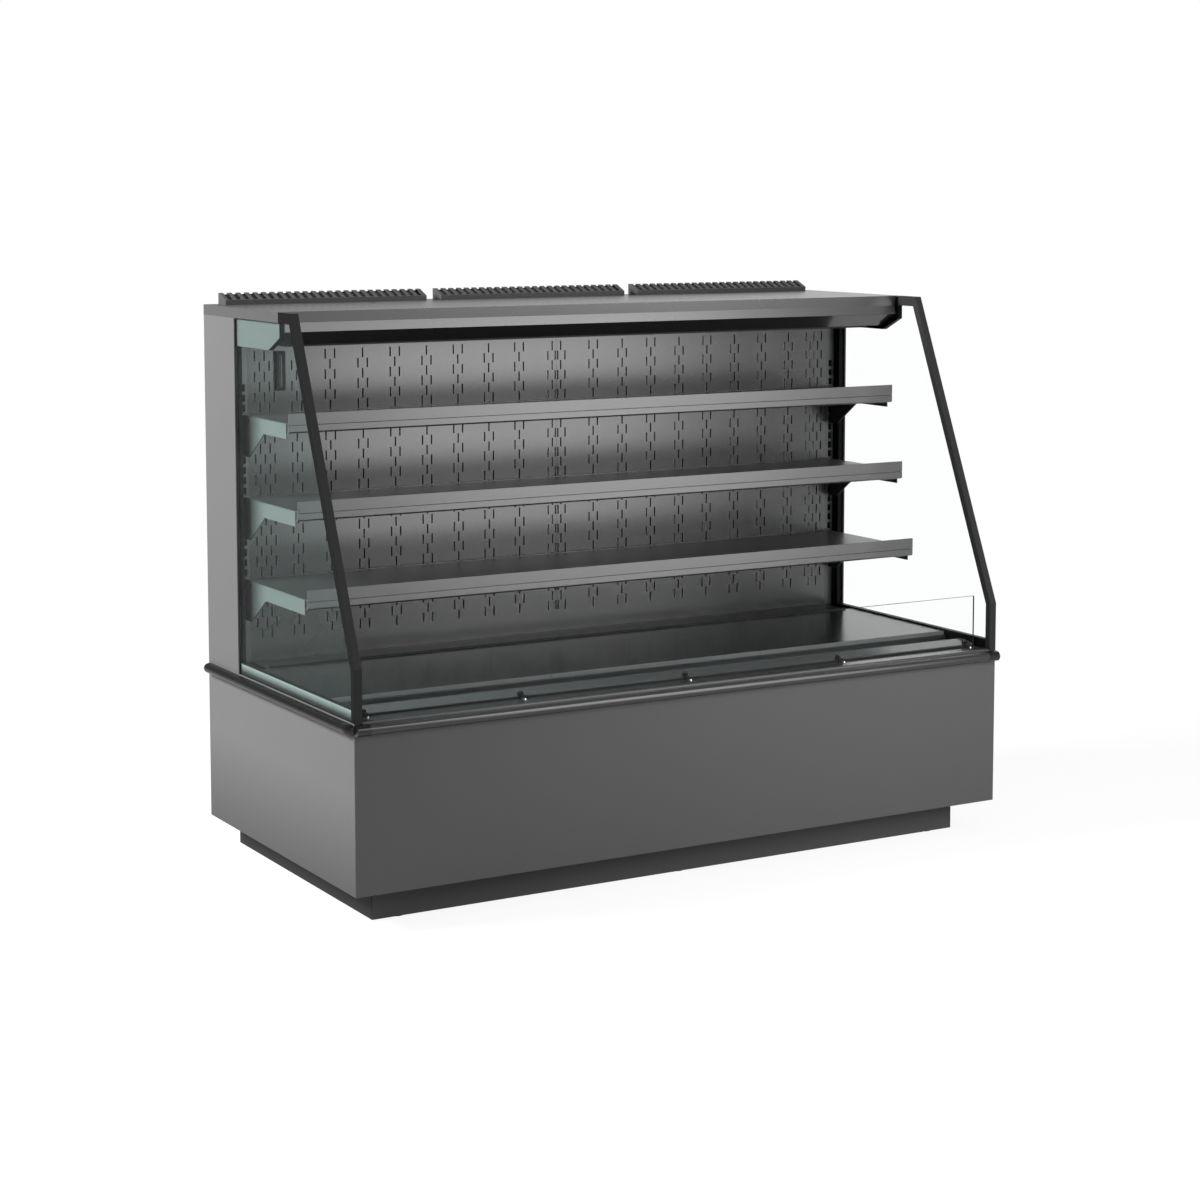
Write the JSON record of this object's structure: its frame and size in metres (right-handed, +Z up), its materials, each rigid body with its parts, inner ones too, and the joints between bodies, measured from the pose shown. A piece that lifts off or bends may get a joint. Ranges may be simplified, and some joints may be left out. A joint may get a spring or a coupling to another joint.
{
  "type": "refrigerated display case",
  "caption": "Open-fronted refrigerated display case with lift-off shelves and deck pans, leaning glass sides, low front glass, roof vents, fans and a cooling unit in the base.",
  "frame": {"origin": "on the floor under the middle of the case's bounding box", "axes": "+X to the shopper's right along the case, +Y from the shopper towards the back, +Z up"},
  "size_m": [1.919, 0.929, 1.454],
  "materials": {
    "cabinet_paint": "satin powder coat, anthracite grey",
    "deck_paint": "gloss coat, dark grey",
    "black_paint": "satin black powder coat",
    "black_gloss": "gloss black",
    "black_plastic": "fine matt black",
    "bumper_plastic": "semi-matt dark grey",
    "clear_glass": "clear with a green edge",
    "galvanised_steel": "zinc coated sheet",
    "foam_core": "foam between sheet skins",
    "coil_metal": "mill finish fins",
    "rubber_mount": "moulded rubber",
    "pipe_plastic": "grey drain pipe",
    "lamp_cover": "opal diffuser"
  },
  "bodies": {
    "cabinet": {"base_side_left": "cabinet_paint", "base_side_right": "cabinet_paint", "front_panel": "cabinet_paint", "column_side_left": "cabinet_paint", "column_side_right": "cabinet_paint", "roof_panel": "cabinet_paint", "canopy_ends": "cabinet_paint", "kick_plates": "cabinet_paint", "shelf_brackets": "cabinet_paint", "shelf_uprights": "cabinet_paint", "perforated_panel_left": "cabinet_paint", "perforated_panel_right": "cabinet_paint", "deck_rear_strip": "cabinet_paint", "front_sill": "cabinet_paint", "side_frame_left": "black_paint", "side_frame_right": "black_paint", "vent_grilles": "black_paint", "return_grille": "black_paint", "compressor": "black_paint", "canopy_soffit": "black_gloss", "glass_seals": "black_plastic", "glass_clips": "black_plastic", "air_outlet": "black_plastic", "thermometer": "black_plastic", "fan_motors": "black_plastic", "levelling_feet": "black_plastic", "bumper_front": "bumper_plastic", "bumper_left": "bumper_plastic", "bumper_right": "bumper_plastic", "bumper_corners": "bumper_plastic", "side_glass_left": "clear_glass", "side_glass_right": "clear_glass", "base_frame": "galvanised_steel", "machine_floor": "galvanised_steel", "rear_service_panel": "galvanised_steel", "back_panel": "galvanised_steel", "fan_plate": "galvanised_steel", "condenser_shroud": "galvanised_steel", "condensate_tray": "galvanised_steel", "control_box": "galvanised_steel", "insulated_tub": "foam_core", "insulated_back": "foam_core", "evaporator_coil": "coil_metal", "condenser_coil": "coil_metal", "compressor_mounts": "rubber_mount", "drain_pipe": "pipe_plastic", "lamp": "lamp_cover"},
    "evaporator_fan_left": {"evaporator_fan_left": "black_plastic"},
    "evaporator_fan_centre": {"evaporator_fan_centre": "black_plastic"},
    "evaporator_fan_right": {"evaporator_fan_right": "black_plastic"},
    "condenser_fan": {"condenser_fan": "black_plastic"},
    "shelf_bottom": {"shelf_bottom": "cabinet_paint"},
    "shelf_middle": {"shelf_middle": "cabinet_paint"},
    "shelf_top": {"shelf_top": "cabinet_paint"},
    "deck_pan_left": {"deck_pan_left": "deck_paint"},
    "deck_pan_centre": {"deck_pan_centre": "deck_paint"},
    "deck_pan_right": {"deck_pan_right": "deck_paint"},
    "front_glass": {"front_glass": "clear_glass"},
    "main_switch": {"main_switch": "black_plastic"}
  },
  "joints": [
    {"name": "evaporator_fan_left_spin", "type": "hinge", "parent": "cabinet", "child": "evaporator_fan_left", "pos_m": [-0.52, 0.0985, 0.426], "axis": [0, 1, 0], "continuous": true},
    {"name": "evaporator_fan_centre_spin", "type": "hinge", "parent": "cabinet", "child": "evaporator_fan_centre", "pos_m": [0, 0.0985, 0.426], "axis": [0, 1, 0], "continuous": true},
    {"name": "evaporator_fan_right_spin", "type": "hinge", "parent": "cabinet", "child": "evaporator_fan_right", "pos_m": [0.52, 0.0985, 0.426], "axis": [0, 1, 0], "continuous": true},
    {"name": "condenser_fan_spin", "type": "hinge", "parent": "cabinet", "child": "condenser_fan", "pos_m": [0.2, -0.2232, 0.183], "axis": [0, 1, 0], "continuous": true},
    {"name": "shelf_bottom_lift", "type": "slide", "parent": "cabinet", "child": "shelf_bottom", "axis": [0, 0, 1], "range_m": [0, 0.06]},
    {"name": "shelf_middle_lift", "type": "slide", "parent": "cabinet", "child": "shelf_middle", "axis": [0, 0, 1], "range_m": [0, 0.06]},
    {"name": "shelf_top_lift", "type": "slide", "parent": "cabinet", "child": "shelf_top", "axis": [0, 0, 1], "range_m": [0, 0.06]},
    {"name": "deck_pan_left_lift", "type": "slide", "parent": "cabinet", "child": "deck_pan_left", "axis": [0, 0, 1], "range_m": [0, 0.06]},
    {"name": "deck_pan_centre_lift", "type": "slide", "parent": "cabinet", "child": "deck_pan_centre", "axis": [0, 0, 1], "range_m": [0, 0.06]},
    {"name": "deck_pan_right_lift", "type": "slide", "parent": "cabinet", "child": "deck_pan_right", "axis": [0, 0, 1], "range_m": [0, 0.06]},
    {"name": "front_glass_lift", "type": "slide", "parent": "cabinet", "child": "front_glass", "axis": [0, 0, 1], "range_m": [0, 0.14]},
    {"name": "main_switch_rock", "type": "hinge", "parent": "cabinet", "child": "main_switch", "pos_m": [-0.715, 0.4552, 0.225], "axis": [1, 0, 0], "range_deg": [0, 16]}
  ]
}
